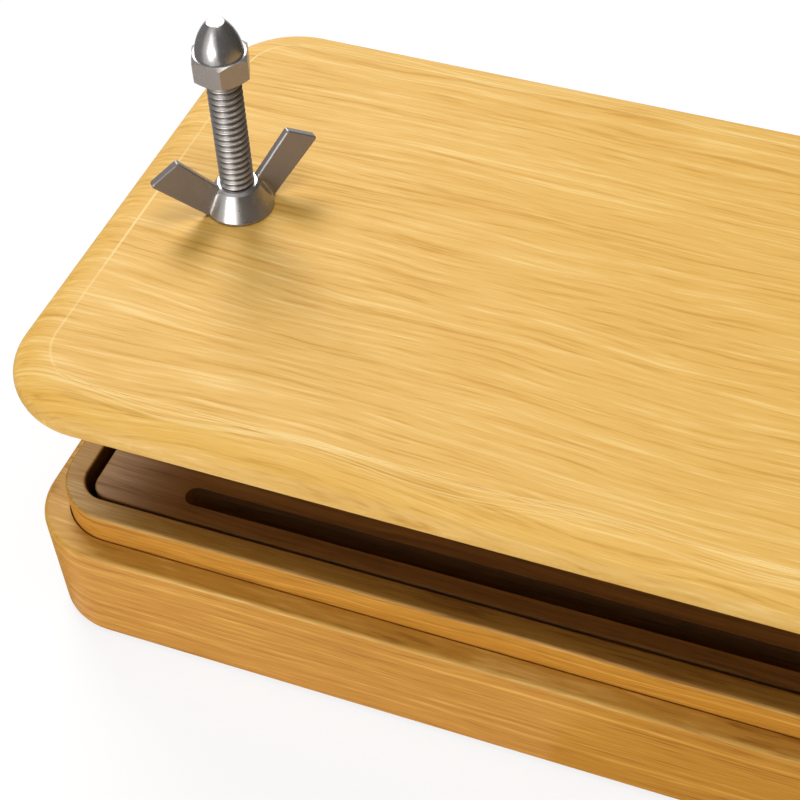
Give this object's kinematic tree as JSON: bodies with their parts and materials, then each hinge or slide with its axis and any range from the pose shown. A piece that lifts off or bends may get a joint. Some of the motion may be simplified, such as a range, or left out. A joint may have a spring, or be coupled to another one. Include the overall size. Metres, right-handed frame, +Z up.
{
  "type": "tofu press",
  "caption": "Screw-down tofu press: wooden drip tray, slotted drain board in a raised rim, and a rounded press board run down two bolts by wing nuts under acorn nuts.",
  "frame": {"origin": "centre of the footprint, on the surface that the feet stand on", "axes": "+X along the length from the left bolt to the right bolt, +Y to the back, +Z up along the bolts"},
  "size_m": [0.2738, 0.1666, 0.1499],
  "materials": {
    "board_wood": "smooth oiled light oak, grain along the length",
    "tray_wood": "smooth oiled honey-brown oak",
    "deck_wood": "smooth oiled oak",
    "steel": "satin stainless steel",
    "foot_rubber": "matt black rubber"
  },
  "bodies": {
    "tray": {"base_tray": "tray_wood", "rubber_foot_front_left": "foot_rubber", "rubber_foot_front_right": "foot_rubber", "rubber_foot_back_left": "foot_rubber", "rubber_foot_back_right": "foot_rubber"},
    "deck": {"rim_frame": "tray_wood", "drain_board": "deck_wood", "cross_rail_left": "deck_wood", "cross_rail_right": "deck_wood", "press_bolt_left": "steel", "head_washer_left": "steel", "deck_washer_left": "steel", "lock_nut_left": "steel", "acorn_nut_left": "steel", "press_bolt_right": "steel", "head_washer_right": "steel", "deck_washer_right": "steel", "lock_nut_right": "steel", "acorn_nut_right": "steel"},
    "board": {"press_board": "board_wood"},
    "left_nut": {"wing_nut_left": "steel"},
    "right_nut": {"wing_nut_right": "steel"}
  },
  "joints": [
    {"name": "deck_lift", "type": "slide", "parent": "tray", "child": "deck", "axis": [0, 0, 1], "range_m": [0, 0.06]},
    {"name": "board_travel", "type": "slide", "parent": "deck", "child": "board", "axis": [0, 0, 1], "range_m": [-0.0288, 0.0306]},
    {"name": "left_nut_turn", "type": "hinge", "parent": "board", "child": "left_nut", "pos_m": [-0.102, 0, 0.0929], "axis": [0, 0, 1], "range_deg": [-5765, 6125]},
    {"name": "right_nut_turn", "type": "hinge", "parent": "board", "child": "right_nut", "pos_m": [0.102, 0, 0.0929], "axis": [0, 0, 1], "range_deg": [-5765, 6125]}
  ],
  "couplings": [
    {"joint": "left_nut_turn", "follows": "board_travel", "rad_per_m": 3490.7},
    {"joint": "right_nut_turn", "follows": "board_travel", "rad_per_m": 3490.7}
  ]
}
